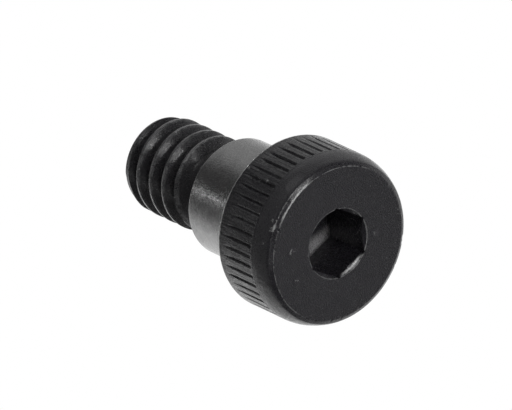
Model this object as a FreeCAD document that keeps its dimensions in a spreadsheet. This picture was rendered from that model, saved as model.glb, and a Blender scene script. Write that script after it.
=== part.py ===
import FreeCAD, Part
import os

import PartDesign
import Sketcher

# Shoulder bolt, one turned piece. It stands on its head: the socket face lies on Z = 0,
# the axis is Z and the thread points up. A hexagon corner of the socket points along -Y.

doc = FreeCAD.newDocument("ShoulderBolt")
vector = FreeCAD.Vector

# Driving dimensions, in millimetres, degrees and counts
sheet = doc.addObject("Spreadsheet::Sheet", "Sizes")
driving = [
    ("head_dia", 11.1, "outside of the knurled head"),
    ("head_height", 4.7, "socket face to the face that clamps"),
    ("face_dia", 9.82, "flat of the socket face"),
    ("bevel_width", 0.26, "narrow bevel round the flat, radially"),
    ("bevel_height", 0.16, "narrow bevel round the flat, along the axis"),
    ("crown_height", 1.5, "where the rounded edge reaches the full diameter"),
    ("rim_chamfer", 0.05, "back rim of the head"),
    ("shoulder_dia", 7.5, "ground shoulder, the diameter that things turn on"),
    ("shoulder_length", 5.5, "ground shoulder"),
    ("shoulder_chamfer", 0.1, "end of the shoulder"),
    ("neck_dia", 4.6, "relief between shoulder and thread"),
    ("neck_length", 2.35, "shoulder end to the first full crest"),
    ("thread_dia", 6.2, "major diameter of the quarter-inch thread"),
    ("thread_pitch", 1.27, "twenty turns to the inch"),
    ("thread_depth", 0.78, "crest to root"),
    ("thread_crest", 0.16, "flat on the crest"),
    ("flank_angle", 30, "one flank from the plane across the axis"),
    ("thread_phase", 0.356, "neck end back to the middle of the groove where it starts, on the +X side"),
    ("end_length", 7.7, "shoulder end to the tip"),
    ("tip_length", 0.75, "tip back to where the crests start to fall short"),
    ("tip_drop", 0.22, "how far the last crest falls short of the others"),
    ("tip_chamfer", 0.12, "edge of the tip"),
    ("socket_across_flats", 4.0, "hexagon for the key"),
    ("socket_depth", 3.7, "flat floor of the hexagon"),
    ("countersink_dia", 4.46, "mouth of the socket"),
    ("knurl_count", 52, "straight grooves round the head"),
    ("knurl_depth", 0.17, "each groove"),
    ("knurl_half_angle", 45, "one side of a groove from its middle"),
    ("knurl_start", 1.42, "front end of the grooves, from the socket face"),
    ("knurl_full", 2.0, "length at full depth"),
    ("knurl_fade", 1.0, "length over which a groove runs out"),
    ("cut_clearance", 0.1, "how far a cutter stands outside the metal"),
]
for row, (alias, value, note) in enumerate(driving, start=1):
    sheet.set(f"A{row}", note)
    sheet.set(f"B{row}", str(value))
    sheet.setAlias(f"B{row}", alias)
doc.recompute()

body = doc.addObject("PartDesign::Body", "ShoulderBolt")
body.Label = "shoulder_bolt"

# Sketcher's own numbers for a sketch's two axes, and for its origin as a point
across_axis_id = -1
along_axis_id = -2
origin_id = (across_axis_id, 1)


def origin_part(role):
    """The body's own origin plane or axis with this role."""
    return next(item for item in body.Origin.OriginFeatures if item.Role == role)


def new_sketch(name, plane="XY_Plane", height=None):
    """A sketch on an origin plane, lifted along +Z by an expression where one is given."""
    sketch = body.newObject("Sketcher::SketchObject", name)
    sketch.AttachmentSupport = [(origin_part(plane), "")]
    sketch.MapMode = "FlatFace"
    if height:
        sketch.setExpression("AttachmentOffset.Base.z", height)
    return sketch


def hold(sketch, kind, line, point, name, expression):
    """Hold one point of a line at an expression's distance from the sketch's origin."""
    value = sketch.evalExpression(expression)
    number = float(getattr(value, "Value", value))
    index = sketch.addConstraint(Sketcher.Constraint(kind, *origin_id, line, point, number))
    sketch.renameConstraint(index, name)
    sketch.setExpression(f"Constraints.{name}", expression)


def locate(sketch, line, point, name, across, along):
    """Place a point: across and along are expressions, and None puts it on the axis."""
    if across is None:
        sketch.addConstraint(Sketcher.Constraint("PointOnObject", line, point, along_axis_id))
    else:
        hold(sketch, "DistanceX", line, point, name + "_x", across)
    if along is None:
        sketch.addConstraint(Sketcher.Constraint("PointOnObject", line, point, across_axis_id))
    else:
        hold(sketch, "DistanceY", line, point, name + "_y", along)


def value_of(sketch, expression):
    if expression is None:
        return 0.0
    value = sketch.evalExpression(expression)
    return float(getattr(value, "Value", value))


def closed_outline(sketch, corners):
    """Straight lines round the corners, each corner (name, across, along) held by its sizes."""
    places = [vector(value_of(sketch, x), value_of(sketch, y), 0) for name, x, y in corners]
    for index, start in enumerate(places):
        end = places[(index + 1) % len(places)]
        sketch.addGeometry(Part.LineSegment(start, end))
    for index, (name, across, along) in enumerate(corners):
        before = (index - 1) % len(corners)
        sketch.addConstraint(Sketcher.Constraint("Coincident", before, 2, index, 1))
        locate(sketch, index, 1, name, across, along)


def circle(sketch, diameter):
    """A circle about the axis."""
    radius = value_of(sketch, diameter) / 2
    sketch.addGeometry(Part.Circle(vector(0, 0, 0), vector(0, 0, 1), radius))
    sketch.addConstraint(Sketcher.Constraint("Coincident", 0, 3, *origin_id))
    index = sketch.addConstraint(Sketcher.Constraint("Diameter", 0, 2 * radius))
    sketch.renameConstraint(index, "diameter")
    sketch.setExpression("Constraints.diameter", diameter)


def turned(kind, name, sketch):
    """Turn a profile about Z, adding or cutting metal."""
    feature = body.newObject(kind, name)
    feature.Profile = sketch
    feature.ReferenceAxis = (origin_part("Z_Axis"), [""])
    feature.Angle = 360
    doc.recompute()
    return feature


def padded(name, sketch, length):
    feature = body.newObject("PartDesign::Pad", name)
    feature.Profile = sketch
    feature.setExpression("Length", length)
    doc.recompute()
    return feature


def round_edge(feature, radius, height):
    """The name of the circular edge about Z with this radius at this height."""
    for index, edge in enumerate(feature.Shape.Edges, start=1):
        curve = edge.Curve
        if not isinstance(curve, Part.Circle):
            continue
        if abs(curve.Radius - radius) < 1e-4 and abs(curve.Center.z - height) < 1e-4:
            return f"Edge{index}"
    raise RuntimeError(f"no round edge of radius {radius} at {height}")


def chamfered(name, base, radius, height, size):
    feature = body.newObject("PartDesign::Chamfer", name)
    feature.Base = (base, [round_edge(base, radius, height)])
    feature.setExpression("Size", size)
    doc.recompute()
    return feature


def has_cut(feature, before):
    """A cutter that points away from the metal takes nothing and shows no error."""
    removed = before.Shape.Volume - feature.Shape.Volume
    if removed < 1e-3:
        raise RuntimeError(f"{feature.Name} cut nothing")
    print(f"{feature.Name} removed {removed:.3f} mm3")


# Head: flat socket face, narrow bevel, rounded edge, straight side and chamfered back rim
head_sketch = new_sketch("HeadProfile", "XZ_Plane")
head_corners = [
    ("face_middle", None, None),
    ("face_edge", "Sizes.face_dia / 2", None),
    ("bevel_end", "Sizes.face_dia / 2 + Sizes.bevel_width", "Sizes.bevel_height"),
    ("crown_end", "Sizes.head_dia / 2", "Sizes.crown_height"),
    ("rim_start", "Sizes.head_dia / 2", "Sizes.head_height - Sizes.rim_chamfer"),
    ("rim_end", "Sizes.head_dia / 2 - Sizes.rim_chamfer", "Sizes.head_height"),
    ("back_middle", None, "Sizes.head_height"),
]
places = [vector(value_of(head_sketch, x), value_of(head_sketch, y), 0) for name, x, y in head_corners]
crown_line = 2
for index, start in enumerate(places):
    end = places[(index + 1) % len(places)]
    if index == crown_line:
        rise = end.y - start.y
        step = end.x - start.x
        crown_radius = (rise * rise + step * step) / (2 * step)
        bend = vector(end.x - crown_radius, end.y, 0)
        middle = (start + end) * 0.5 - bend
        middle.normalize()
        head_sketch.addGeometry(Part.Arc(start, bend + middle * crown_radius, end))
    else:
        head_sketch.addGeometry(Part.LineSegment(start, end))
for index, (name, across, along) in enumerate(head_corners):
    before = (index - 1) % len(head_corners)
    if index == crown_line + 1:
        head_sketch.addConstraint(Sketcher.Constraint("Tangent", before, 2, index, 1))
    else:
        head_sketch.addConstraint(Sketcher.Constraint("Coincident", before, 2, index, 1))
    locate(head_sketch, index, 1, name, across, along)
head = turned("PartDesign::Revolution", "Head", head_sketch)

# Shoulder and threaded end, turned from the same bar
shoulder_end = sheet.head_height + sheet.shoulder_length
shoulder_sketch = new_sketch("ShoulderCircle", height="Sizes.head_height")
circle(shoulder_sketch, "Sizes.shoulder_dia")
shoulder = padded("Shoulder", shoulder_sketch, "Sizes.shoulder_length")
shoulder_edge = chamfered(
    "ShoulderEdge", shoulder, sheet.shoulder_dia / 2, shoulder_end, "Sizes.shoulder_chamfer"
)

end_sketch = new_sketch("EndCircle", height="Sizes.head_height + Sizes.shoulder_length")
circle(end_sketch, "Sizes.thread_dia")
threaded_end = padded("ThreadedEnd", end_sketch, "Sizes.end_length")

# Tip: the last crest is not fully formed, so the outside closes in a step and then a small chamfer
outside = "Sizes.thread_dia / 2 + Sizes.cut_clearance"
tip_end = "Sizes.head_height + Sizes.shoulder_length + Sizes.end_length"
tip_radius = "Sizes.thread_dia / 2 - Sizes.tip_drop"
tip_sketch = new_sketch("TipProfile", "XZ_Plane")
closed_outline(tip_sketch, [
    ("step_outside", outside, tip_end + " - Sizes.tip_length - Sizes.cut_clearance"),
    ("step_foot", tip_radius, tip_end + " - Sizes.tip_length + Sizes.tip_drop"),
    ("edge_start", tip_radius, tip_end + " - Sizes.tip_chamfer"),
    ("edge_past", tip_radius + " - Sizes.tip_chamfer - Sizes.cut_clearance", tip_end + " + Sizes.cut_clearance"),
    ("outside_past", outside, tip_end + " + Sizes.cut_clearance"),
])
tip = turned("PartDesign::Groove", "Tip", tip_sketch)
has_cut(tip, threaded_end)

# Neck: a relief beside the shoulder that opens at 45 degrees into the first crest
neck_start = "Sizes.head_height + Sizes.shoulder_length"
neck_end = neck_start + " + Sizes.neck_length"
neck_sketch = new_sketch("NeckProfile", "XZ_Plane")
closed_outline(neck_sketch, [
    ("seat", "Sizes.neck_dia / 2", neck_start),
    ("seat_outside", outside, neck_start),
    ("slope_outside", outside, neck_end + " + Sizes.cut_clearance"),
    ("slope_foot", "Sizes.neck_dia / 2", neck_end + " - (Sizes.thread_dia - Sizes.neck_dia) / 2"),
])
neck = turned("PartDesign::Groove", "Neck", neck_sketch)
has_cut(neck, tip)

# Thread: a right-handed groove that starts in the neck's slope and leaves past the tip
groove_middle = neck_end + " - Sizes.thread_phase"
root_half = (
    "((Sizes.thread_pitch - Sizes.thread_crest) / 2"
    " - Sizes.thread_depth * tan(Sizes.flank_angle * 1 deg))"
)
mouth_half = root_half + " + (Sizes.thread_depth + Sizes.cut_clearance) * tan(Sizes.flank_angle * 1 deg)"
root = "Sizes.thread_dia / 2 - Sizes.thread_depth"
thread_sketch = new_sketch("ThreadProfile", "XZ_Plane")
closed_outline(thread_sketch, [
    ("root_low", root, f"{groove_middle} - ({root_half})"),
    ("mouth_low", outside, f"{groove_middle} - ({mouth_half})"),
    ("mouth_high", outside, f"{groove_middle} + ({mouth_half})"),
    ("root_high", root, f"{groove_middle} + ({root_half})"),
])
thread = body.newObject("PartDesign::SubtractiveHelix", "Thread")
thread.Profile = thread_sketch
thread.ReferenceAxis = (origin_part("Z_Axis"), [""])
thread.Mode = "pitch-height-angle"
thread.setExpression("Pitch", "Sizes.thread_pitch")
thread.setExpression(
    "Height",
    "Sizes.end_length - Sizes.neck_length + Sizes.thread_phase + Sizes.thread_pitch",
)
thread.LeftHanded = False
thread.Reversed = False
doc.recompute()
has_cut(thread, neck)

# Socket: a hexagon with a flat floor, and a countersunk mouth that its corners run through
socket_sketch = new_sketch("SocketHexagon")
corner_radius = "Sizes.socket_across_flats / 2 / cos(30 deg)"
half_side = "Sizes.socket_across_flats / 2 * tan(30 deg)"
half_flats = "Sizes.socket_across_flats / 2"
closed_outline(socket_sketch, [
    ("front", None, "-" + corner_radius),
    ("front_right", half_flats, "-" + half_side),
    ("back_right", half_flats, half_side),
    ("back", None, corner_radius),
    ("back_left", "-" + half_flats, half_side),
    ("front_left", "-" + half_flats, "-" + half_side),
])
socket = body.newObject("PartDesign::Pocket", "Socket")
socket.Profile = socket_sketch
socket.setExpression("Length", "Sizes.socket_depth")
socket.Reversed = True
doc.recompute()
has_cut(socket, thread)

mouth_sketch = new_sketch("MouthProfile", "XZ_Plane")
closed_outline(mouth_sketch, [
    ("middle", None, None),
    ("edge", "Sizes.countersink_dia / 2", None),
    ("point", None, "Sizes.countersink_dia / 2"),
])
mouth = turned("PartDesign::Groove", "Mouth", mouth_sketch)
has_cut(mouth, socket)

# Knurl: V grooves cut with a square front end, even for most of their length, then running out
knurl_top = "Sizes.head_dia / 2 + Sizes.knurl_depth + Sizes.cut_clearance"


def knurl_section(name, height, bottom):
    """One V section of the cutter, on the +X side of the head."""
    sketch = new_sketch(name, height=height)
    half_width = f"(({knurl_top}) - ({bottom})) * tan(Sizes.knurl_half_angle * 1 deg)"
    closed_outline(sketch, [
        ("bottom", bottom, None),
        ("left", knurl_top, "-" + half_width),
        ("right", knurl_top, half_width),
    ])
    return sketch


deep = "Sizes.head_dia / 2 - Sizes.knurl_depth"
surface = "Sizes.head_dia / 2"
front_section = knurl_section("KnurlFront", "Sizes.knurl_start", deep)
full_section = knurl_section("KnurlFull", "Sizes.knurl_start + Sizes.knurl_full", deep)
fade_height = "Sizes.knurl_start + Sizes.knurl_full + Sizes.knurl_fade"
fade_section = knurl_section("KnurlFade", fade_height, surface)
groove = body.newObject("PartDesign::SubtractiveLoft", "KnurlGroove")
groove.Profile = front_section
groove.Sections = [full_section, fade_section]
groove.Ruled = True
doc.recompute()
has_cut(groove, mouth)

knurl = body.newObject("PartDesign::PolarPattern", "Knurl")
knurl.Originals = [groove]
knurl.Axis = (origin_part("Z_Axis"), [""])
knurl.Angle = 360
knurl.setExpression("Occurrences", "Sizes.knurl_count")
body.Tip = knurl
doc.recompute()
has_cut(knurl, groove)

# Every object has to be sound before anything is written
for item in doc.Objects:
    if "Invalid" in item.State or "Error" in item.State:
        raise RuntimeError(f"{item.Name} failed: {item.State}")
pieces = [item for item in doc.Objects if item.TypeId == "PartDesign::Body"]
os.makedirs("parts", exist_ok=True)
for piece in pieces:
    shape = piece.Shape
    if shape.isNull() or not shape.isValid() or len(shape.Solids) != 1:
        raise RuntimeError(f"{piece.Label} is not one sound solid")
    box = shape.optimalBoundingBox(False, False)
    print(f"{piece.Label}: {shape.Volume:.2f} mm3, z {box.ZMin:.3f} to {box.ZMax:.3f}")
    shape.exportStep(f"parts/{piece.Label}.step")
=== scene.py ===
import math
import random

import bmesh
import bpy
from mathutils import Matrix, Vector, noise


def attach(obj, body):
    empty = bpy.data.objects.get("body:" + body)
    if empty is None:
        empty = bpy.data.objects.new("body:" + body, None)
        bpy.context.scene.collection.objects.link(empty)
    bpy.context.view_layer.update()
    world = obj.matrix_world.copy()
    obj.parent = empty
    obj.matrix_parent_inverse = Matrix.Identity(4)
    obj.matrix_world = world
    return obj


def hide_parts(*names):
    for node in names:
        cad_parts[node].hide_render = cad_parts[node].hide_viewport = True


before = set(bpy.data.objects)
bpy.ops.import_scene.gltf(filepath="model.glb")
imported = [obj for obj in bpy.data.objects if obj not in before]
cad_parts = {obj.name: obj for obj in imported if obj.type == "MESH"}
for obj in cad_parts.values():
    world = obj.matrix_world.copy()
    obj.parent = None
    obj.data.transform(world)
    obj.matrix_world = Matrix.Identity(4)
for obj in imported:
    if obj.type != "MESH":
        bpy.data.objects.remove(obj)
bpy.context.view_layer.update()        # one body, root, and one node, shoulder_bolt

mm = 0.001               # sizes below are in millimetres, meshes are in metres
scene = bpy.context.scene
scene.view_settings.view_transform = "Standard"


# camera, fitted to the rings, the hexagon and the outline in the photograph

cameraSetup = {
    "azimuth": -84.763,              # where the camera stands, round Z from +X
    "elevation": -48.160,            # it looks up at the socket face
    "roll": 64.956,                  # the photograph's upright, turned away from +Z
    "aim": (0.0013, 0.2249, 8.4996),
    "distance": 906.48,
    "lens": 1042.12,
    "sensor": 36.0,
    "clip": (0.01, 10),              # metres
}


def outwards(azimuth, elevation):
    turn, rise = math.radians(azimuth), math.radians(elevation)
    return Vector((math.cos(rise) * math.cos(turn), math.cos(rise) * math.sin(turn), math.sin(rise)))


def makeCamera(setup):
    back = outwards(setup["azimuth"], setup["elevation"])
    upright = back.to_track_quat("Z", "Y").to_matrix()
    basis = upright @ Matrix.Rotation(-math.radians(setup["roll"]), 3, "Z")
    data = bpy.data.cameras.new("photoCamera")
    data.lens = setup["lens"]
    data.sensor_width = setup["sensor"]
    data.clip_start, data.clip_end = setup["clip"]
    camera = bpy.data.objects.new("photoCamera", data)
    place = (Vector(setup["aim"]) + back * setup["distance"]) * mm
    camera.matrix_world = Matrix.Translation(place) @ basis.to_4x4()
    scene.collection.objects.link(camera)
    scene.camera = camera
    return basis


pictureBasis = makeCamera(cameraSetup)
print("camera ready")


# node helpers

def addNode(tree, kind, **values):
    node = tree.nodes.new(kind)
    for name, value in values.items():
        setattr(node, name, value)
    return node


def feed(tree, socket, value):
    if isinstance(value, bpy.types.NodeSocket):
        tree.links.new(value, socket)
    else:
        socket.default_value = value


def calc(tree, operation, *terms):
    node = addNode(tree, "ShaderNodeMath", operation=operation)
    for socket, term in zip(node.inputs, terms):
        feed(tree, socket, term)
    return node.outputs[0]


def product(tree, *terms):
    whole = terms[0]
    for term in terms[1:]:
        whole = calc(tree, "MULTIPLY", whole, term)
    return whole


def strongest(tree, masks):
    whole = masks[0]
    for mask in masks[1:]:
        whole = calc(tree, "MAXIMUM", whole, mask)
    return whole


def vectorCalc(tree, operation, first, second=None, out="Vector"):
    node = addNode(tree, "ShaderNodeVectorMath", operation=operation)
    feed(tree, node.inputs[0], first)
    if second is not None:
        feed(tree, node.inputs[1], second)
    return node.outputs[out]


def ramp(tree, value, low, high, toLow=0.0, toHigh=1.0):
    node = addNode(tree, "ShaderNodeMapRange", interpolation_type="SMOOTHSTEP")
    terms = {"Value": value, "From Min": low, "From Max": high, "To Min": toLow, "To Max": toHigh}
    for name, term in terms.items():
        feed(tree, node.inputs[name], term)
    return node.outputs["Result"]


def blendColours(tree, share, first, second):
    node = addNode(tree, "ShaderNodeMix", data_type="RGBA")
    feed(tree, node.inputs[0], share)
    feed(tree, node.inputs[6], first)
    feed(tree, node.inputs[7], second)
    return node.outputs[2]


def cloud(tree, point, scale, detail, rough):
    node = addNode(tree, "ShaderNodeTexNoise")
    feed(tree, node.inputs["Vector"], point)
    feed(tree, node.inputs["Scale"], scale)
    feed(tree, node.inputs["Detail"], detail)
    feed(tree, node.inputs["Roughness"], rough)
    return node.outputs[0]


# noise as soft patches: none below the first level and full above the second. Two more
# values say what it gives there, when that isn't 0 and 1
def patches(tree, point, scale, detail, rough, levels):
    return ramp(tree, cloud(tree, point, scale, detail, rough), *levels)


# how much a corner is rubbed, stored with the mesh when it is shaped
def rubbedOf(tree):
    return addNode(tree, "ShaderNodeAttribute", attribute_name="rubbed").outputs["Fac"]


def startGroup(name, inputs, outputs):
    group = bpy.data.node_groups.new(name, "ShaderNodeTree")
    for label, kind in inputs:
        group.interface.new_socket(label, in_out="INPUT", socket_type=kind)
    for label, kind in outputs:
        group.interface.new_socket(label, in_out="OUTPUT", socket_type=kind)
    source = addNode(group, "NodeGroupInput")
    target = addNode(group, "NodeGroupOutput")
    return group, source.outputs, target.inputs


def useGroup(tree, group, **terms):
    node = addNode(tree, "ShaderNodeGroup", node_tree=group)
    for name, term in terms.items():
        feed(tree, node.inputs[name], term)
    return node.outputs


number, colour, vector = "NodeSocketFloat", "NodeSocketColor", "NodeSocketVector"


# shared effects, each built once and used in every finish with its own values.
# Point is the place on the bolt in millimetres.

def makeTurnedPlace():
    group, given, made = startGroup(
        "turnedPlace",
        [("Point", vector)],
        [("Radius", number), ("Height", number)],
    )
    flat = vectorCalc(group, "MULTIPLY", given["Point"], (1, 1, 0))
    feed(group, made["Radius"], vectorCalc(group, "LENGTH", flat, out="Value"))
    split = addNode(group, "ShaderNodeSeparateXYZ")
    feed(group, split.inputs[0], given["Point"])
    feed(group, made["Height"], split.outputs[2])
    return group


# a bright line on a circular edge, partly real wear and partly a painted highlight: how near a point
# is to the circle of this radius at this height. Side is the direction in which the line is strongest,
# where the painted highlight falls. From and To are the cosines of the angles from it at which the line
# begins and is full, Elsewhere is the share beyond them
def makeRingWearAndGlint():
    group, given, made = startGroup(
        "ringWearAndGlint",
        [("Point", vector), ("Edge Radius", number), ("Edge Height", number), ("Width", number),
         ("Broken", number), ("Noise", number), ("Side", vector), ("From", number), ("To", number),
         ("Elsewhere", number)],
        [("Mask", number)],
    )
    turned = useGroup(group, turnedPlace, Point=given["Point"])
    across = calc(group, "SUBTRACT", turned["Radius"], given["Edge Radius"])
    along = calc(group, "SUBTRACT", turned["Height"], given["Edge Height"])
    squares = calc(group, "ADD", product(group, across, across), product(group, along, along))
    away = calc(group, "SQRT", squares)
    # a broken line is thinner where the noise is low
    lack = product(group, given["Broken"], calc(group, "SUBTRACT", 1.0, given["Noise"]))
    reach = product(group, given["Width"], calc(group, "SUBTRACT", 1.0, lack))
    leastReach = 0.0005
    line = ramp(group, away, 0.0, calc(group, "MAXIMUM", reach, leastReach), 1.0, 0.0)
    flat = vectorCalc(group, "NORMALIZE", vectorCalc(group, "MULTIPLY", given["Point"], (1, 1, 0)))
    facing = vectorCalc(group, "DOT_PRODUCT", flat, given["Side"], out="Value")
    share = ramp(group, facing, given["From"], given["To"], given["Elsewhere"], 1.0)
    feed(group, made["Mask"], product(group, line, share))
    return group


# black oxide is uneven: wide cloudy patches and fine grain
def makeOxideTone():
    group, given, made = startGroup(
        "oxideTone",
        [("Point", vector), ("Dark", colour), ("Light", colour), ("Patch Scale", number),
         ("Grain Scale", number), ("Grain Share", number)],
        [("Color", colour), ("Tone", number), ("Grain", number)],
    )
    point = given["Point"]
    wide = patches(group, point, given["Patch Scale"], detail=3.0, rough=0.55, levels=(0.25, 0.75))
    fine = patches(group, point, given["Grain Scale"], detail=2.0, rough=0.6, levels=(0.36, 0.66))
    rest = calc(group, "SUBTRACT", 1.0, given["Grain Share"])
    tone = calc(group, "ADD", product(group, wide, rest), product(group, fine, given["Grain Share"]))
    feed(group, made["Color"], blendColours(group, tone, given["Dark"], given["Light"]))
    feed(group, made["Tone"], tone)
    feed(group, made["Grain"], fine)
    return group


# small light specks: dust and pinholes in the coating, in some cells of a cell pattern only
def makeDustSpecks():
    group, given, made = startGroup(
        "dustSpecks",
        [("Point", vector), ("Scale", number), ("Size", number), ("Share", number)],
        [("Mask", number)],
    )
    cells = addNode(group, "ShaderNodeTexVoronoi")
    feed(group, cells.inputs["Vector"], given["Point"])
    feed(group, cells.inputs["Scale"], given["Scale"])
    split = addNode(group, "ShaderNodeSeparateColor")
    feed(group, split.inputs[0], cells.outputs["Color"])
    chosen = calc(group, "LESS_THAN", split.outputs[0], given["Share"])
    # each speck has a size of its own, from 0.3 to 1.3 of the given one
    size = product(group, given["Size"], calc(group, "ADD", split.outputs[1], 0.3))
    dot = ramp(group, cells.outputs["Distance"], 0.0, size, 1.0, 0.0)
    feed(group, made["Mask"], product(group, chosen, dot))
    return group


# lines left by the turning and grinding, which run round the axis
def makeTurningLines():
    group, given, made = startGroup(
        "turningLines",
        [("Point", vector), ("Radius", number), ("Round Scale", number), ("Across Scale", number),
         ("Height Share", number)],
        [("Lines", number)],
    )
    split = addNode(group, "ShaderNodeSeparateXYZ")
    feed(group, split.inputs[0], given["Point"])
    radiusShare = calc(group, "SUBTRACT", 1.0, given["Height Share"])
    across = product(group, given["Radius"], radiusShare)
    along = product(group, split.outputs[2], given["Height Share"])
    ring = calc(group, "ADD", across, along)
    place = addNode(group, "ShaderNodeCombineXYZ")
    feed(group, place.inputs[0], product(group, split.outputs[0], given["Round Scale"]))
    feed(group, place.inputs[1], product(group, split.outputs[1], given["Round Scale"]))
    feed(group, place.inputs[2], product(group, ring, given["Across Scale"]))
    feed(group, made["Lines"], cloud(group, place.outputs[0], 1.0, detail=3.0, rough=0.6))
    return group


# a knock or rub at one place: rough inside, with bare bits
def makeScuff():
    group, given, made = startGroup(
        "scuff",
        [("Point", vector), ("Centre", vector), ("Size", number), ("Scale", number), ("Bare", number)],
        [("Mask", number), ("Rough", number)],
    )
    away = vectorCalc(group, "DISTANCE", given["Point"], given["Centre"], out="Value")
    # it is full in the inner quarter
    near = ramp(group, away, product(group, given["Size"], 0.25), given["Size"], 1.0, 0.0)
    bits = cloud(group, given["Point"], given["Scale"], detail=2.0, rough=0.6)
    allBare = 0.62                       # all is bare where the noise is higher than this
    someBare = calc(group, "SUBTRACT", allBare, given["Bare"])
    feed(group, made["Mask"], ramp(group, product(group, bits, near), someBare, allBare))
    feed(group, made["Rough"], product(group, near, bits))
    return group


turnedPlace = makeTurnedPlace()
ringWearAndGlint = makeRingWearAndGlint()
oxideTone = makeOxideTone()
dustSpecks = makeDustSpecks()
turningLines = makeTurningLines()
scuff = makeScuff()


def startFinish(name, specular):
    material = bpy.data.materials.new(name)
    material.use_nodes = True
    tree = material.node_tree
    tree.nodes.clear()
    shader = addNode(tree, "ShaderNodeBsdfPrincipled")
    result = addNode(tree, "ShaderNodeOutputMaterial")
    tree.links.new(shader.outputs[0], result.inputs["Surface"])
    shader.inputs["Specular IOR Level"].default_value = specular
    place = addNode(tree, "ShaderNodeTexCoord")
    point = vectorCalc(tree, "MULTIPLY", place.outputs["Object"], (1 / mm, 1 / mm, 1 / mm))
    turned = useGroup(tree, turnedPlace, Point=point)
    return material, tree, shader.inputs, point, turned


# depth in mm
def bumpOf(tree, height, depth, normal=None):
    node = addNode(tree, "ShaderNodeBump")
    node.inputs["Distance"].default_value = depth * mm
    feed(tree, node.inputs["Height"], height)
    if normal is not None:
        feed(tree, node.inputs["Normal"], normal)
    return node.outputs[0]


# finishes

def oxideOf(tree, point, values):
    return useGroup(tree, oxideTone, **{
        "Point": point,
        "Dark": values["dark"],
        "Light": values["light"],
        "Patch Scale": values["patchScale"],
        "Grain Scale": values["grainScale"],
        "Grain Share": values["grainShare"],
    })


def specksOf(tree, point, values):
    return useGroup(tree, dustSpecks, Point=point, Scale=values["speckScale"],
                    Size=values["speckSize"], Share=values["speckShare"])["Mask"]


def linesOf(tree, point, radius, setup):
    return useGroup(tree, turningLines, **{
        "Point": point,
        "Radius": radius,
        "Round Scale": setup["round"],
        "Across Scale": setup["across"],
        "Height Share": setup["heightShare"],
    })["Lines"]


def wornAndGlintEdge(tree, point, breaks, edge):
    mask = useGroup(tree, ringWearAndGlint, **{
        "Point": point,
        "Edge Radius": edge["radius"],
        "Edge Height": edge["height"],
        "Width": edge["width"],
        "Broken": edge["broken"],
        "Noise": breaks,
        "Side": outwards(edge["side"], 0),
        "From": math.cos(math.radians(edge["fades"])),
        "To": math.cos(math.radians(edge["full"])),
        "Elsewhere": edge["elsewhere"],
    })["Mask"]
    return product(tree, mask, edge["share"])


# each scuff is x, y, z, size in mm and how bare it is worn. Gives the bare bits and the roughness
def scuffed(tree, point, places, scale):
    made = []
    for *centre, size, bare in places:
        made.append(useGroup(tree, scuff, Point=point, Centre=centre, Size=size, Scale=scale, Bare=bare))
    return [strongest(tree, [one[part] for one in made]) for part in ("Mask", "Rough")]


# steel shows where the oxide is worn, and on the head's edges this bright steel also paints highlights.
# The oil film is thickest where the oxide is dark
def feedOxide(tree, sockets, values, tone, base, steelShare):
    feed(tree, sockets["Base Color"], blendColours(tree, steelShare, base, values["steel"]))
    feed(tree, sockets["Metallic"], product(tree, steelShare, values["metal"]))
    dull = ramp(tree, tone, 0.0, 1.0, *values["roughness"])
    feed(tree, sockets["Roughness"], ramp(tree, steelShare, 0.0, 1.0, dull, values["wornRoughness"]))
    least, most = values["oil"]
    feed(tree, sockets["Coat Weight"], ramp(tree, tone, *values["oilTone"], most, least))
    sockets["Coat Roughness"].default_value = values["oilRoughness"]


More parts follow.
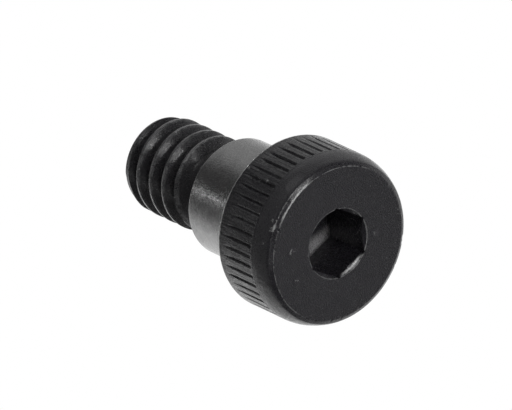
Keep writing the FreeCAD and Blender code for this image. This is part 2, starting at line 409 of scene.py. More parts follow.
headFinish = {
    "dark": (0.0120, 0.0100, 0.0160, 1),
    "light": (0.0530, 0.0505, 0.0595, 1),
    "patchScale": 0.9,
    "grainScale": 13.0,
    "grainShare": 0.75,
    "roughness": (0.24, 0.42),                   # of the dark oxide and of the light
    "specular": 0.4,
    "oil": (0.20, 0.75),                         # a thin film, the least and the most of it
    "oilTone": (0.2, 0.8),
    "oilRoughness": 0.14,
    "wornRoughness": 0.17,
    # the bare steel colour, near white, also paints highlights on the edge lines below
    "steel": (0.93, 0.93, 0.93, 1),
    "metal": 0.35,                               # worn places and the painted edge highlights still scatter some light
    "rubbed": (0.11, 0.11, 0.115, 1),            # the edges of the knurl's grooves
    "rubBreaks": {"scale": 5.0, "detail": 2.0, "rough": 0.6, "levels": (0.42, 0.60)},
    "edgeBreaks": {"scale": 3.2, "detail": 3.0, "rough": 0.6, "levels": (0.36, 0.6)},
    # side is the azimuth where an edge's bright line is strongest, full and fades are degrees from it.
    # These lines are partly real wear and partly painted highlights and glints
    "edges": [
        {"radius": 4.920, "height": 0.010, "width": 0.120, "broken": 0.45, "share": 1.0,
         "side": -71, "full": 11, "fades": 22, "elsewhere": 0.0},
        {"radius": 4.912, "height": 0.006, "width": 0.060, "broken": 0.9, "share": 0.42,
         "side": -86, "full": 76, "fades": 102, "elsewhere": 0.0},
        {"radius": 5.170, "height": 0.160, "width": 0.070, "broken": 1.0, "share": 0.45,
         "side": -78, "full": 12, "fades": 28, "elsewhere": 0.08},
        {"radius": 5.180, "height": 0.170, "width": 0.170, "broken": 0.75, "share": 1.0,
         "side": -93.6, "full": 0.8, "fades": 3.2, "elsewhere": 0.0},
        {"radius": 5.55, "height": 4.640, "width": 0.085, "broken": 0.5, "share": 0.9,
         "side": -60, "full": 50, "fades": 90, "elsewhere": 0.35},
        {"radius": 2.235, "height": 0.005, "width": 0.065, "broken": 0.6, "share": 0.6,
         "side": 20, "full": 60, "fades": 120, "elsewhere": 0.6},
        {"radius": 2.120, "height": 0.110, "width": 0.200, "broken": 0.6, "share": 1.0,
         "side": 123, "full": 18, "fades": 36, "elsewhere": 0.0},
    ],
    "speckScale": 3.6,
    "speckSize": 0.18,
    "speckShare": 0.5,
    "speckColour": (0.24, 0.24, 0.245, 1),
    # pairs are where an effect begins and is full, or where it begins to end and ends
    "outside": (5.0, 5.2),                       # radii that tell the head's outside from its face
    "crownLight": (0.110, 0.108, 0.115, 1),       # painted light: the crown is painted lighter than the rest of the head
    "crownRise": (0.15, 0.4),
    "crownFall": (1.2, 1.5),
    "crownShare": 0.6,
    "sideShadeRise": (1.2, 1.7),                      # painted shade: the side is painted darker than the face
    "sideShadeShare": 0.5,
    "socketFloorLight": (0.60, 0.59, 0.60, 1),          # painted light on the socket's floor, a pale grey patch where light falls in through the mouth
    "floorRise": (3.4, 3.62),
    "floorRim": (2.3, 2.35),
    "floorTone": (0.1, 0.6, 0.45, 1.0),          # and the share it gives at either end
    "floorLightSide": 125,                             # azimuth of the side where the painted light lies
    "floorLightRise": (1.0, 1.65),                     # mm from the axis to that side
    "streaks": {"scale": 1.0, "detail": 2.0, "rough": 0.5, "levels": (0.36, 0.66)},
    "streakStretch": (8.5, 8.5, 0.55),
    "streakRise": (1.25, 1.45),
    "streakFall": (4.45, 4.66),
    "streakShare": 0.25,
    "lines": {"round": 0.5, "across": 9.0, "heightShare": 0.5},
    "bumps": {"grain": 0.012, "streaks": 0.030, "scuffs": 0.05, "lines": 0.004},
    "scuffScale": 7.0,
    "scuffShare": 0.55,
    "scuffs": [
        (-1.38, -3.25, 0.0, 0.42, 0.16), (-2.95, -2.05, 0.0, 0.34, 0.10),
        (1.28, 2.50, 0.0, 0.36, 0.12), (-0.44, -5.16, 0.30, 0.42, 0.24),
        (-1.45, -5.20, 0.61, 0.25, 0.14), (-2.70, -4.75, 0.50, 0.36, 0.08),
        (-3.21, -4.35, 0.22, 0.22, 0.16), (2.35, -4.97, 4.5, 0.40, 0.12),
        (2.12, -5.07, 2.33, 0.34, 0.12), (1.98, -5.13, 2.98, 0.34, 0.12),
        (0.10, -5.2, 0.35, 0.5, 0.12),
    ],
}


def makeHeadFinish(values):
    material, tree, sockets, point, turned = startFinish("blackOxideHead", values["specular"])
    radius, height = turned["Radius"], turned["Height"]
    tone = oxideOf(tree, point, values)
    outside = ramp(tree, radius, *values["outside"])
    # rolling the knurl leaves fine streaks along the side
    band = product(
        tree,
        ramp(tree, height, *values["streakRise"]),
        ramp(tree, height, *values["streakFall"], 1.0, 0.0),
        outside,
    )
    stretched = vectorCalc(tree, "MULTIPLY", point, values["streakStretch"])
    streaks = product(tree, band, patches(tree, stretched, **values["streaks"]))
    share = product(tree, streaks, values["streakShare"])
    base = blendColours(tree, share, tone["Color"], values["light"])
    # painted shade: the side is blended towards the dark oxide colour
    side = product(tree, ramp(tree, height, *values["sideShadeRise"]), outside, values["sideShadeShare"])
    base = blendColours(tree, side, base, values["dark"])
    # painted light: the crown band is blended towards a lighter colour
    crown = product(
        tree,
        ramp(tree, height, *values["crownRise"]),
        ramp(tree, height, *values["crownFall"], 1.0, 0.0),
        outside,
        values["crownShare"],
    )
    base = blendColours(tree, crown, base, values["crownLight"])
    rubbed = product(tree, rubbedOf(tree), patches(tree, point, **values["rubBreaks"]))
    base = blendColours(tree, rubbed, base, values["rubbed"])
    # painted light: the socket's floor is painted pale grey on one side, broken up by the oxide tone
    towardsLightSide = vectorCalc(tree, "DOT_PRODUCT", point, outwards(values["floorLightSide"], 0), out="Value")
    floor = product(
        tree,
        ramp(tree, height, *values["floorRise"]),
        ramp(tree, radius, *values["floorRim"], 1.0, 0.0),
        ramp(tree, tone["Tone"], *values["floorTone"]),
        ramp(tree, towardsLightSide, *values["floorLightRise"]),
    )
    base = blendColours(tree, floor, base, values["socketFloorLight"])
    base = blendColours(tree, specksOf(tree, point, values), base, values["speckColour"])
    breaks = patches(tree, point, **values["edgeBreaks"])
    # bright lines on the edges, partly real wear and partly painted highlights and glints on the side
    # where light catches them
    edges = [wornAndGlintEdge(tree, point, breaks, edge) for edge in values["edges"]]
    bare, knocked = scuffed(tree, point, values["scuffs"], values["scuffScale"])
    steelShare = strongest(tree, edges + [product(tree, bare, values["scuffShare"])])
    feedOxide(tree, sockets, values, tone["Tone"], base, steelShare)
    bumps = values["bumps"]
    skin = bumpOf(tree, tone["Grain"], bumps["grain"])
    skin = bumpOf(tree, streaks, bumps["streaks"], skin)
    skin = bumpOf(tree, knocked, bumps["scuffs"], skin)
    lines = linesOf(tree, point, radius, values["lines"])
    feed(tree, sockets["Normal"], bumpOf(tree, lines, bumps["lines"], skin))
    return material


shoulderFinish = {
    "dark": (0.20, 0.20, 0.202, 1),
    "light": (0.38, 0.38, 0.378, 1),
    "patchScale": 0.9,
    "grainScale": 13.0,
    "grainShare": 0.65,
    "roughness": (0.10, 0.22),
    "specular": 0.5,
    "metal": 1.0,
    "steel": (0.62, 0.62, 0.61, 1),
    "edgeBreaks": {"scale": 3.2, "detail": 3.0, "rough": 0.6, "levels": (0.36, 0.6)},
    # a bright line on the end edge, partly real wear and partly a painted highlight
    "endEdgeWearAndGlint": {"radius": 3.715, "height": 10.135, "width": 0.060, "broken": 0.5, "share": 0.8,
                "side": -140, "full": 35, "fades": 75, "elsewhere": 0.12},
    "speckScale": 4.0,
    "speckSize": 0.20,
    "speckShare": 0.45,
    "speckShine": 0.6,
    "lines": {"round": 0.9, "across": 14.0, "heightShare": 1.0},
    "bumps": {"grain": 0.005, "lines": 0.007},
}


def makeShoulderFinish(values):
    material, tree, sockets, point, turned = startFinish("groundShoulder", values["specular"])
    tone = oxideOf(tree, point, values)
    breaks = patches(tree, point, **values["edgeBreaks"])
    # the end edge's bright line: partly wear, partly painted highlight
    edge = wornAndGlintEdge(tree, point, breaks, values["endEdgeWearAndGlint"])
    specks = product(tree, specksOf(tree, point, values), values["speckShine"])
    shine = calc(tree, "MAXIMUM", edge, specks)
    feed(tree, sockets["Base Color"], blendColours(tree, shine, tone["Color"], values["steel"]))
    sockets["Metallic"].default_value = values["metal"]
    feed(tree, sockets["Roughness"], ramp(tree, tone["Tone"], 0.0, 1.0, *values["roughness"]))
    skin = bumpOf(tree, tone["Grain"], values["bumps"]["grain"])
    lines = linesOf(tree, point, turned["Radius"], values["lines"])
    feed(tree, sockets["Normal"], bumpOf(tree, lines, values["bumps"]["lines"], skin))
    return material


threadFinish = {
    "dark": (0.0090, 0.0075, 0.0122, 1),
    "light": (0.0320, 0.0300, 0.0365, 1),
    "patchScale": 1.4,
    "grainScale": 13.0,
    "grainShare": 0.7,
    "roughness": (0.25, 0.40),
    "specular": 0.65,
    "oil": (0.25, 0.60),
    "oilTone": (0.2, 0.8),
    "oilRoughness": 0.18,
    "wornRoughness": 0.20,
    "steel": (0.33, 0.33, 0.335, 1),
    "metal": 0.8,
    "crestShare": 0.75,          # how bright the crests are rubbed
    "crestBreaks": {"scale": 3.6, "detail": 3.0, "rough": 0.65, "levels": (0.36, 0.60, 0.15, 1.0)},
    "speckScale": 3.2,
    "speckSize": 0.17,
    "speckShare": 0.35,
    "speckColour": (0.17, 0.17, 0.175, 1),
    "lines": {"round": 0.35, "across": 7.0, "heightShare": 0.3},
    "bumps": {"grain": 0.012, "lines": 0.009},
    "scuffScale": 7.0,
    "scuffs": [
        (-0.79, -3.0, 16.18, 0.24, 0.26), (-1.13, -2.89, 15.14, 0.22, 0.26),
        (0.9, -2.75, 14.2, 0.4, 0.10),
    ],
}


def makeThreadFinish(values):
    material, tree, sockets, point, turned = startFinish("blackOxideThread", values["specular"])
    tone = oxideOf(tree, point, values)
    base = blendColours(tree, specksOf(tree, point, values), tone["Color"], values["speckColour"])
    uneven = patches(tree, point, **values["crestBreaks"])
    crests = product(tree, rubbedOf(tree), uneven, values["crestShare"])
    bare = scuffed(tree, point, values["scuffs"], values["scuffScale"])[0]
    steelShare = calc(tree, "MAXIMUM", crests, bare)
    feedOxide(tree, sockets, values, tone["Tone"], base, steelShare)
    skin = bumpOf(tree, tone["Grain"], values["bumps"]["grain"])
    lines = linesOf(tree, point, turned["Radius"], values["lines"])
    feed(tree, sockets["Normal"], bumpOf(tree, lines, values["bumps"]["lines"], skin))
    return material


finishes = [
    makeHeadFinish(headFinish),
    makeShoulderFinish(shoulderFinish),
    makeThreadFinish(threadFinish),
]
print("finishes ready:", [material.name for material in finishes])


# the bolt, one skin. Its columns stand at even angles, six sides of the hexagon and
# fifty-two grooves of the knurl both divide them

boltSizes = {
    "columns": 468,
    "headRadius": 5.55,
    "headHeight": 4.7,
    "faceRadius": 4.91,
    "bevelRadius": 5.17,
    "bevelHeight": 0.16,
    "crownHeight": 1.5,
    "crownSteps": 11,
    "faceRings": 15,
    "shoulderRadius": 3.75,
    "shoulderEnd": 10.2,
    "neckRadius": 2.3,
    "neckOpens": 11.75,          # the relief opens at 45 degrees from here
    # radius and height of the tip's corners
    "tipLine": [(3.1, 17.15), (2.88, 17.37), (2.88, 17.70), (2.76, 17.82)],
    "tipEnd": 17.82,             # worn a little shorter than the plain solid
    "joinHeight": 10.6,          # where the threaded end is joined to the neck
    "capInset": 0.12,            # of a ring inside the tip's edge
    "merge": 0.0005,             # corners nearer to each other than this are one
    "sharpAngle": 34,
    # how far the middles of a finish's faces may lie past its size
    "headMargin": 0.002,
    "seatMargin": 0.01,
    "endMargin": 0.001,
    "neckMargin": 0.03,
}
socketSizes = {
    "halfFlats": 2.0,
    "mouthRadius": 2.23,
    "depth": 3.7,
    "soften": 0.02,              # worn rounding of the mouth
    "rimWidth": 0.15,            # of the face beside the mouth, which moves with it
    "floorMargin": 0.1,
    "near": 1e-4,                # nearer than this counts as equal
}
knurlSizes = {
    "grooves": 52,
    "depth": 0.125,
    "halfWidth": 0.125,          # of a groove at its deepest
    "start": 1.42,
    "startSpread": 0.10,
    "rise": 0.07,                # height in which a groove gets its full depth
    "riseBefore": 0.012,
    "full": 3.42,
    "fade": 4.64,
    "endWidth": 0.4,             # share of its width where it has faded
    "wallColumns": 2,
    # height in which the columns draw together at the grooves, and spread out again
    "gatherRise": 0.05,
    "gatherFall": 0.2,
    "gatherBefore": 0.03,
    "outside": 5.5,              # only corners farther out than this are moved
    "rubGain": 3,
    "seed": 5,
    "depthSpread": 0.25,
    "endSpread": 0.45,
    "slideSpread": 0.22,         # degrees
}
threadSizes = {
    "pitch": 1.27,
    "crestRadius": 3.1,
    "rootRadius": 2.32,
    "crestHalf": 0.08,
    "crestSoft": 0.03,
    "grooveStart": 12.194,       # height of the groove's middle where it starts, on the +X side
    "runIn": 110.0,              # degrees over which it sinks in before that
    "runInPower": 0.6,
    "columns": 312,
    "turns": 8,
    "turnsBefore": 3,            # it is swept from this many turns before the start
    "flank": 30.0,
    "merge": 0.002,
    "cutNear": 0.0001,           # corners this near to a cut lie on it
    "waveDepth": 0.010,          # rolled flanks are a little uneven
    "waveScale": 1.7,
    "waveFull": 0.1,
    "rubWidth": 0.15,            # half of a crest's rubbed line
    "rubSoft": 0.05,
    "rubRadius": 2.6,
    "rubStart": -0.75,           # turns from the groove's start
}


def startLine(bm, places):
    corners = [bm.verts.new((radius * mm, 0, height * mm)) for radius, height in places]
    return corners + [bm.edges.new(pair) for pair in zip(corners, corners[1:])]


def polarOf(vert):
    return math.hypot(vert.co.x, vert.co.y) / mm, math.atan2(vert.co.y, vert.co.x), vert.co.z / mm


def clipped(share):
    return min(1, max(0, share))


def moveTo(vert, radius, angle, height):
    vert.co = Vector((radius * math.cos(angle), radius * math.sin(angle), height)) * mm


# from the socket's floor out over the face, down the side and back in to the neck
def headLine():
    b, k = boltSizes, socketSizes
    flats, mouth, soft, depth = k["halfFlats"], k["mouthRadius"], k["soften"], k["depth"]
    side, back = b["headRadius"], b["headHeight"]
    shoulder, end, neck = b["shoulderRadius"], b["shoulderEnd"], b["neckRadius"]
    # the socket's floor, with a worn corner, and its wall
    line = [(0, depth), (0.7, depth), (1.4, depth), (flats - 0.08, depth)]
    line += [(flats - 0.02, depth - 0.015), (flats, depth - 0.07)]
    line += [(flats, height) for height in (3.3, 2.8, 2.3, 1.8, 1.4, 1.0, 0.7, 0.45, 0.3)]
    # the countersink and the rounding of its mouth
    cone = mouth - flats
    line += [(flats + cone * share, soft + cone * (1 - share)) for share in (0, 0.33, 0.67)]
    line += [(mouth, soft), (mouth + 0.012, soft * 0.3), (mouth + 0.03, 0), (mouth + 0.10, 0)]
    # the face, its rounded edge and the bevel
    inner, outer = 2.5, b["faceRadius"] - 0.10
    line += [(inner + (outer - inner) * i / b["faceRings"], 0) for i in range(b["faceRings"] + 1)]
    line += [(4.86, 0), (4.888, 0.0004), (4.902, 0.004), (4.916, 0.010), (4.935, 0.0185)]
    line += [(4.97, 0.037), (5.06, 0.0925), (5.135, 0.1385), (5.158, 0.153), (5.172, 0.168)]
    line += [(5.188, 0.188)]
    # the crown is an arc that meets the side
    rise = b["crownHeight"] - b["bevelHeight"]
    step = side - b["bevelRadius"]
    bend = (rise * rise + step * step) / (2 * step)
    spread = math.asin(rise / bend)
    for i in range(1, b["crownSteps"]):
        turn = spread * (1 - i / b["crownSteps"])
        line.append((side - bend + bend * math.cos(turn), b["crownHeight"] - bend * math.sin(turn)))
    # the side, with more rings where the grooves start and where they fade
    line += [(side - 0.0007, 1.385), (side - 0.0005, 1.41)]
    line += [(side, height) for height in (1.44, 1.475, 1.51, 1.55, 1.60, 1.65)]
    line += [(side, 1.7 + 0.2 * i) for i in range(9)]
    line += [(side, 3.42 + 0.12 * i) for i in range(10)]
    line += [(side, 4.6), (side, 4.645)]
    # the back, the shoulder and its end
    line += [(side - 0.004, 4.665), (side - 0.018, 4.685), (side - 0.05, back)]
    line += [(5.1, back), (4.5, back), (3.85, back), (3.765, 4.703), (shoulder, 4.72)]
    line += [(shoulder, height) for height in (4.85, 5.4, 6.4, 7.4, 8.4, 9.4, 10.02)]
    line += [(3.748, 10.075), (3.738, 10.108), (3.70, 10.15), (3.665, 10.185), (3.63, end)]
    line += [(3.2, end), (2.7, end), (2.36, end), (2.31, 10.21), (neck, 10.24), (neck, 10.5)]
    return line


# the socket starts round, as wide as the hexagon's flats, and each column is drawn out to the hexagon
def shapeSocket(vert):
    k = socketSizes
    flats, mouth, soft, near = k["halfFlats"], k["mouthRadius"], k["soften"], k["near"]
    radius, angle, height = polarOf(vert)
    if height > k["depth"] + k["floorMargin"] or radius > mouth + k["rimWidth"]:
        return
    sixth = math.pi / 3                  # a flat faces every multiple of 60 degrees
    bearing = angle % sixth
    fromFlat = min(bearing, sixth - bearing)
    hexagon = flats / math.cos(fromFlat)
    meet = max(soft, mouth + soft - hexagon)
    if radius <= flats + near:
        if height < mouth + soft - flats + near:
            height = meet
        moveTo(vert, radius * hexagon / flats, angle, height)
    elif height > soft - near:
        share = (radius - flats) / (mouth - flats)
        height = meet + (soft - meet) * share
        moveTo(vert, max(hexagon, mouth + soft - height), angle, height)
    else:
        moveTo(vert, max(mouth, hexagon) + radius - mouth, angle, height)


# nine columns belong to each groove: five make its two walls, four the land beside it
def cutKnurl(bm, rubbed):
    k = knurlSizes
    rng = random.Random(k["seed"])
    grooves = []
    for i in range(k["grooves"]):
        grooves.append((
            k["depth"] * (1 - k["depthSpread"] * rng.random()),
            k["start"] + k["startSpread"] * rng.random(),
            k["full"] - k["endSpread"] * rng.random(),
            k["fade"] - k["endSpread"] * rng.random(),
            math.radians(k["slideSpread"]) * (2 * rng.random() - 1),
        ))
    apart = 2 * math.pi / k["grooves"]
    column = 2 * math.pi / boltSizes["columns"]
    wall = k["wallColumns"]
    landColumns = boltSizes["columns"] / k["grooves"] / 2 - wall
    for vert in bm.verts:
        radius, angle, height = polarOf(vert)
        if radius < k["outside"] or not k["start"] - k["gatherBefore"] < height < k["fade"]:
            continue
        index = round(angle / apart)
        depth, start, full, fade, slide = grooves[index % k["grooves"]]
        rise = clipped((height - start + k["riseBefore"]) / k["rise"])
        fall = clipped((fade - height) / (fade - full))
        wide = k["halfWidth"] * (k["endWidth"] + (1 - k["endWidth"]) * fall)
        place = round((angle - index * apart) / column)
        steps = abs(place)
        land = (apart * radius / 2 - wide) / landColumns
        away = wide * steps / wall if steps <= wall else wide + land * (steps - wall)
        gather = clipped((height - k["start"] + k["gatherBefore"]) / k["gatherRise"])
        gather *= clipped((k["fade"] - height) / k["gatherFall"])
        even = steps * column * radius
        sideways = even + (away - even) * gather
        cut = max(0, depth * rise * fall * (1 - sideways / wide))
        turned = index * apart + slide * gather + math.copysign(sideways, place) / radius
        moveTo(vert, radius - cut, turned, height)
        if steps == wall:
            vert[rubbed] = min(1, k["rubGain"] * rise * fall)


# small knocks. Each dent is x, y, size and depth, and pairs are the least and the most
faceMarks = {
    "seed": 11,
    "dents": [(-1.454, -3.133, 0.20, 0.026), (-1.20, -3.38, 0.18, 0.020), (-2.95, -2.05, 0.20, 0.020)],
    "smallDents": 16,
    "smallDentRadius": (2.6, 4.7),
    "smallDentSize": (0.10, 0.18),
    "smallDentDepth": (0.004, 0.011),
    "nicks": 44,
    "nickSize": (0.07, 0.19),
    "nickDepth": (0.010, 0.032),
    "nickSlant": 0.8,
    "outerShare": 0.45,          # of the nicks, on the bevel's outer edge
    "crownNicks": 30,
    "crownNickRadius": 5.45,
    "crownNickHeight": (0.25, 1.3),
    "crownNickSize": (0.16, 0.24),
    "crownNickDepth": (0.008, 0.022),
}


def pushIn(verts, centre, size, depth, direction):
    for vert in verts:
        away = (vert.co / mm - centre).length
        if away < size:
            share = 0.5 + 0.5 * math.cos(math.pi * away / size)
            vert.co += direction * (depth * share * mm)


# corners farther out than this radius, between two heights
def cornersIn(bm, radius, low, high):
    return [vert for vert in bm.verts
            if vert.co.xy.length > radius * mm and low * mm < vert.co.z < high * mm]


def markFace(bm):
    m, b = faceMarks, boltSizes
    rng = random.Random(m["seed"])
    near = cornersIn(bm, 2.3, -1, 0.3)
    inwards = Vector((0, 0, 1))
    for x, y, size, depth in m["dents"]:
        pushIn(near, Vector((x, y, 0)), size, depth, inwards)
    for i in range(m["smallDents"]):
        place = outwards(rng.uniform(0, 360), 0) * rng.uniform(*m["smallDentRadius"])
        pushIn(near, place, rng.uniform(*m["smallDentSize"]), rng.uniform(*m["smallDentDepth"]), inwards)
    for i in range(m["nicks"]):
        turn = rng.uniform(0, 360)
        outer = rng.random() < m["outerShare"]
        place = outwards(turn, 0) * (b["bevelRadius"] if outer else b["faceRadius"])
        place.z = b["bevelHeight"] if outer else 0
        direction = (inwards - outwards(turn, 0) * m["nickSlant"]).normalized()
        pushIn(near, place, rng.uniform(*m["nickSize"]), rng.uniform(*m["nickDepth"]), direction)
    crown = cornersIn(bm, 5.1, 0.2, 1.6)
    for i in range(m["crownNicks"]):
        turn = rng.uniform(0, 360)
        place = outwards(turn, 0) * m["crownNickRadius"]
        place.z = rng.uniform(*m["crownNickHeight"])
        size, depth = rng.uniform(*m["crownNickSize"]), rng.uniform(*m["crownNickDepth"])
        pushIn(crown, place, size, depth, -outwards(turn, 0))


# forged and rolled sides are not quite even: they drift inwards a little. Each wave is depth and scale
rumple = {
    "waves": [(0.012, 0.9), (0.008, 3.1)],
    "outside": 5.3,
    "heights": (0.3, 4.6),
}


# noise between 0 and 1
def unevenAt(vert, scale):
    return noise.noise(vert.co / mm * scale) * 0.5 + 0.5


def rumpleHead(bm):
    low, high = rumple["heights"]
    for vert in bm.verts:
        radius, angle, height = polarOf(vert)
        if radius > rumple["outside"] and low < height < high:
            for depth, scale in rumple["waves"]:
                radius -= depth * unevenAt(vert, scale)
            moveTo(vert, radius, angle, height)


# how wide the threaded end may be at this height: neck, 45 degree cone, crests, worn tip
def threadLimit(height):
    t, b = threadSizes, boltSizes
    most = t["crestRadius"]
    if height < b["neckOpens"] + most - b["neckRadius"]:
        return b["neckRadius"] + max(0, height - b["neckOpens"])
    for (radius, low), (nextRadius, high) in zip(b["tipLine"], b["tipLine"][1:]):
        if height > low:
            most = radius + (nextRadius - radius) * clipped((height - low) / (high - low))
    return most


def makeThreadedEnd():
    t, b = threadSizes, boltSizes
    bm = bmesh.new()
    slope = math.tan(math.radians(t["flank"]))
    crest, root = t["crestRadius"], t["rootRadius"]
    half, soft, pitch = t["crestHalf"], t["crestSoft"], t["pitch"]
    rootStart = half + (crest - root) * slope

    def flank(away):
        return away, crest - (away - half) / slope

    # half a turn's section, from the middle of the crest to the middle of the groove. The small
    # numbers round the corners of the crest and the root
    oneSide = [(0, crest), (half - 0.02, crest), (half + 0.008, crest - 0.010)]
    oneSide += [flank(away) for away in (half + soft, 0.17, 0.24, 0.31, 0.38, 0.45, rootStart - 0.025)]
    oneSide += [(rootStart + 0.015, root + 0.006), (pitch / 2, root)]
    middle = t["grooveStart"] - t["turnsBefore"] * pitch + pitch / 2
    line = [(radius, middle - away) for away, radius in reversed(oneSide)]
    line += [(radius, middle + away) for away, radius in oneSide[1:]]
    bmesh.ops.spin(bm, geom=startLine(bm, line), cent=(0, 0, 0), axis=(0, 0, 1), angle=2 * math.pi,
                   dvec=(0, 0, pitch * mm / t["columns"]), steps=t["columns"])
    firstTurn = bm.verts[:] + bm.edges[:] + bm.faces[:]
    for turn in range(1, t["turns"]):
        copied = bmesh.ops.duplicate(bm, geom=firstTurn)["geom"]
        bmesh.ops.translate(bm, vec=(0, 0, pitch * turn * mm),
                            verts=[item for item in copied if isinstance(item, bmesh.types.BMVert)])
    bmesh.ops.remove_doubles(bm, verts=bm.verts, dist=t["merge"] * mm)
    print("thread swept:", len(bm.verts), "corners")

    def cutAt(height, **sides):
        bmesh.ops.bisect_plane(bm, geom=bm.verts[:] + bm.edges[:] + bm.faces[:], dist=t["cutNear"] * mm,
                               plane_co=(0, 0, height * mm), plane_no=(0, 0, 1), **sides)

    cutAt(b["joinHeight"], clear_inner=True)
    cutAt(b["tipEnd"], clear_outer=True)
    corners = [b["neckOpens"], b["neckOpens"] + crest - b["neckRadius"]]
    corners += [height for radius, height in b["tipLine"][:-1]]
    for height in corners:
        cutAt(height)
    runIn = t["runIn"] / 360
    rubbed = bm.verts.layers.float.new("rubbed")
    for vert in bm.verts:
        radius, angle, height = polarOf(vert)
        height = min(height, b["tipEnd"])
        most = threadLimit(height)
        turned = angle / (2 * math.pi) % 1
        groove = round((height - t["grooveStart"]) / pitch - turned)
        cut = max(0, most - radius)
        # before its start the groove only sinks in, and below that there is none
        if groove == -1:
            cut *= clipped((turned - 1 + runIn) / runIn) ** t["runInPower"]
        elif groove < -1:
            cut = 0
        wave = unevenAt(vert, t["waveScale"]) * clipped(cut / t["waveFull"])
        moveTo(vert, most - cut - t["waveDepth"] * wave, angle, height)
        turns = (height - t["grooveStart"]) / pitch - turned
        fromCrest = abs(turns - math.floor(turns) - 0.5) * pitch
        if turns > t["rubStart"] and radius > t["rubRadius"]:
            vert[rubbed] = clipped((t["rubWidth"] - fromCrest) / t["rubSoft"])
    top = (b["tipEnd"] - 0.01) * mm      # just below the tip
    rim = [edge for edge in bm.edges
           if edge.is_boundary and min(corner.co.z for corner in edge.verts) > top]
    bmesh.ops.contextual_create(bm, geom=rim)
    cap = [face for face in bm.faces if len(face.verts) == len(rim)]
    bmesh.ops.inset_region(bm, faces=cap, thickness=b["capInset"] * mm, depth=0)
    print("tip closed with", len(cap), "face of", len(rim), "edges")
    return bm


def makeBolt():
    b = boltSizes
    bm = bmesh.new()
    bmesh.ops.spin(bm, geom=startLine(bm, headLine()), cent=(0, 0, 0), axis=(0, 0, 1), angle=2 * math.pi,
                   dvec=(0, 0, 0), steps=b["columns"], use_merge=True)
    bmesh.ops.remove_doubles(bm, verts=bm.verts, dist=b["merge"] * mm)
    print("head turned:", len(bm.verts), "corners")
    for vert in bm.verts:
        shapeSocket(vert)
    cutKnurl(bm, bm.verts.layers.float.new("rubbed"))
    rumpleHead(bm)
    markFace(bm)
    bmesh.ops.remove_doubles(bm, verts=bm.verts, dist=b["merge"] * mm)
    threaded = makeThreadedEnd()
    mesh = bpy.data.meshes.new("boltSkin")
    threaded.to_mesh(mesh)
    threaded.free()
    bm.from_mesh(mesh)
    rings = [edge for edge in bm.edges if edge.is_boundary]
    print("open edges before the join:", len(rings))
    bmesh.ops.bridge_loops(bm, edges=rings)
    bmesh.ops.recalc_face_normals(bm, faces=bm.faces)
    openEdges = sum(1 for edge in bm.edges if not edge.is_manifold)
    print("skin joined, open edges left:", openEdges)
    for face in bm.faces:
        middle = face.calc_center_median() / mm
        radius = middle.xy.length
        face.smooth = True
        onHead = middle.z < b["headHeight"] + b["headMargin"]
        pastShoulder = middle.z >= b["shoulderEnd"] + b["endMargin"]
        if onHead or radius > b["shoulderRadius"] + b["seatMargin"]:
            face.material_index = 0
        elif not pastShoulder and radius > b["neckRadius"] + b["neckMargin"]:
            face.material_index = 1
        else:
            face.material_index = 2
    bm.to_mesh(mesh)
    bm.free()
    mesh.set_sharp_from_angle(angle=math.radians(b["sharpAngle"]))
    for material in finishes:
        mesh.materials.append(material)
    bolt = bpy.data.objects.new("boltSkin", mesh)
    scene.collection.objects.link(bolt)
    worn = sum(1 for one in mesh.attributes["rubbed"].data if one.value > 0.5)
    triangles = sum(len(face.vertices) - 2 for face in mesh.polygons)
    print("bolt made:", triangles, "triangles,", worn, "rubbed corners")
    return bolt


bolt = makeBolt()
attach(bolt, "root")
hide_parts("shoulder_bolt")


# studio: a pale round floor that is seen from above only, a plain sweep and soft lamps

floorSetup = {
    "radius": 1000.0,
    "segments": 96,
    "below": 0.005,              # just under the face, which stands on it
    "colour": (0.80, 0.80, 0.80, 1),
    "fadeStarts": 14.0,          # the floor runs into the white backdrop from here
    "fadeEnds": 60.0,
}


def makeFloor(setup):
    bm = bmesh.new()
    bmesh.ops.create_circle(bm, cap_ends=True, segments=setup["segments"], radius=setup["radius"] * mm)
    bmesh.ops.translate(bm, vec=(0, 0, -setup["below"] * mm), verts=bm.verts)
    mesh = bpy.data.meshes.new("studioFloor")
    bm.to_mesh(mesh)
    bm.free()
    floor = bpy.data.objects.new("studioFloor", mesh)
    scene.collection.objects.link(floor)
    material = bpy.data.materials.new("paleFloor")
    material.use_nodes = True
    tree = material.node_tree
    tree.nodes.clear()
    result = addNode(tree, "ShaderNodeOutputMaterial")
    pale = addNode(tree, "ShaderNodeBsdfDiffuse")
    pale.inputs["Color"].default_value = setup["colour"]
    white = addNode(tree, "ShaderNodeEmission")
    white.inputs["Color"].default_value = (1, 1, 1, 1)
    clear = addNode(tree, "ShaderNodeBsdfTransparent")
    place = addNode(tree, "ShaderNodeTexCoord")
    away = vectorCalc(tree, "LENGTH", place.outputs["Object"], out="Value")
    fade = ramp(tree, away, setup["fadeStarts"] * mm, setup["fadeEnds"] * mm)
    surface = addNode(tree, "ShaderNodeMixShader")
    feed(tree, surface.inputs[0], fade)
    feed(tree, surface.inputs[1], pale.outputs[0])
    feed(tree, surface.inputs[2], white.outputs[0])
    side = addNode(tree, "ShaderNodeNewGeometry")
    path = addNode(tree, "ShaderNodeLightPath")
    above = calc(tree, "SUBTRACT", 1.0, side.outputs["Backfacing"])
    shown = product(tree, above, path.outputs["Is Camera Ray"])
    whole = addNode(tree, "ShaderNodeMixShader")
    feed(tree, whole.inputs[0], shown)
    feed(tree, whole.inputs[1], clear.outputs[0])
    feed(tree, whole.inputs[2], surface.outputs[0])
    feed(tree, result.inputs["Surface"], whole.outputs[0])
    mesh.materials.append(material)


makeFloor(floorSetup)

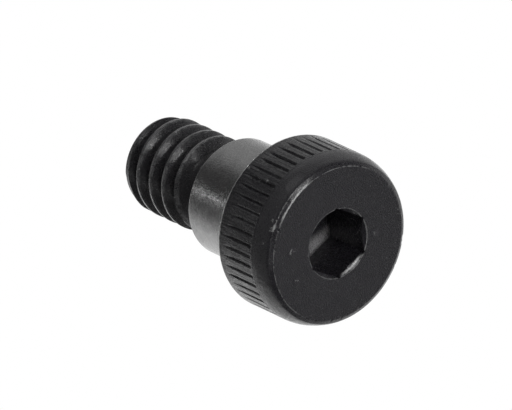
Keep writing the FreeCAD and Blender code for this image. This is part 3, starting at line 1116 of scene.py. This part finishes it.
lampSetup = {
    # place is right, up and towards the camera in the photograph; width in mm
    "faceLamp": {"place": (0.52, 0.10, 0.85), "distance": 400, "width": 80, "watts": 0.085},
    "edgeLamp": {"place": (0.70, -0.18, 0.69), "distance": 400, "width": 70, "watts": 0.11},
    "keyLamp": {"place": (0.56, 0.25, 0.79), "distance": 400, "width": 80, "watts": 0.11},
    "topLamp": {"place": (0.20, 0.50, 0.84), "distance": 400, "width": 170, "watts": 0.13},
    "highLamp": {"place": (-0.30, 0.85, 0.43), "distance": 400, "width": 160, "watts": 0.035},
    "rightLamp": {"place": (0.90, -0.42, 0.11), "distance": 400, "width": 200, "watts": 0.012},
    # from above and behind, it lights the floor, which faces away from the camera
    "skyLamp": {"place": (-0.366, 0.171, -0.915), "distance": 400, "width": 90, "watts": 1.6},
    "lowLamp": {"place": (0.10, -0.60, 0.79), "distance": 400, "width": 160, "watts": 0.032},
}
# a small one close by gives the shoulder its highlight and leaves the head's side dark
nearLamp = {
    "place": (-0.97, 0.20, -0.137),
    "distance": 30,
    "width": 3,
    "watts": 0.00010,
    "aim": (0, 0, 3.25),
}


def makeLamp(name, setup):
    data = bpy.data.lights.new(name, "AREA")
    data.shape = "DISK"
    data.size = setup["width"] * mm
    data.energy = setup["watts"]
    lamp = bpy.data.objects.new(name, data)
    towards = (pictureBasis @ Vector(setup["place"])).normalized()
    aim = Vector(setup.get("aim", cameraSetup["aim"]))
    lamp.location = (aim + towards * setup["distance"]) * mm
    lamp.rotation_mode = "QUATERNION"
    lamp.rotation_quaternion = towards.to_track_quat("Z", "Y")
    lamp.visible_camera = False
    scene.collection.objects.link(lamp)


for name, setup in lampSetup.items():
    makeLamp(name, setup)
makeLamp("nearLamp", nearLamp)

sweepSetup = {
    "dark": 0.085,               # level of the room at the camera's side
    "fill": 0.045,               # plain soft light from all round
    # bright sheets that shiny surfaces mirror. Towards is right, up and towards the camera,
    # starts and ends are the cosines of the angles from it where a sheet starts and is full
    "sheets": [
        {"towards": (-0.16, -0.38, -0.91), "starts": 0.45, "ends": 0.83, "level": 1.0},
        {"towards": (-0.05, 0.80, -0.60), "starts": 0.68, "ends": 0.92, "level": 0.48},
        {"towards": (0.70, -0.05, -0.71), "starts": 0.55, "ends": 0.90, "level": 0.75},
    ],
}


def makeWorld(setup):
    world = bpy.data.worlds.new("studio")
    scene.world = world
    world.use_nodes = True
    tree = world.node_tree
    tree.nodes.clear()
    result = addNode(tree, "ShaderNodeOutputWorld")
    place = addNode(tree, "ShaderNodeTexCoord")
    room = setup["dark"]
    for sheet in setup["sheets"]:
        towards = (pictureBasis @ Vector(sheet["towards"])).normalized()
        facing = vectorCalc(tree, "DOT_PRODUCT", place.outputs["Generated"], towards, out="Value")
        shown = ramp(tree, facing, sheet["starts"], sheet["ends"], setup["dark"], sheet["level"])
        room = calc(tree, "MAXIMUM", room, shown)
    path = addNode(tree, "ShaderNodeLightPath")
    mirrored = calc(tree, "MAXIMUM", path.outputs["Is Glossy Ray"], path.outputs["Is Transmission Ray"])
    plain = product(tree, calc(tree, "SUBTRACT", 1.0, mirrored), setup["fill"])
    seen = calc(tree, "ADD", product(tree, mirrored, room), plain)
    level = calc(tree, "MAXIMUM", seen, path.outputs["Is Camera Ray"])
    light = addNode(tree, "ShaderNodeBackground")
    light.inputs["Color"].default_value = (1, 1, 1, 1)
    feed(tree, light.inputs["Strength"], level)
    feed(tree, result.inputs["Surface"], light.outputs[0])


makeWorld(sweepSetup)
print("studio ready")
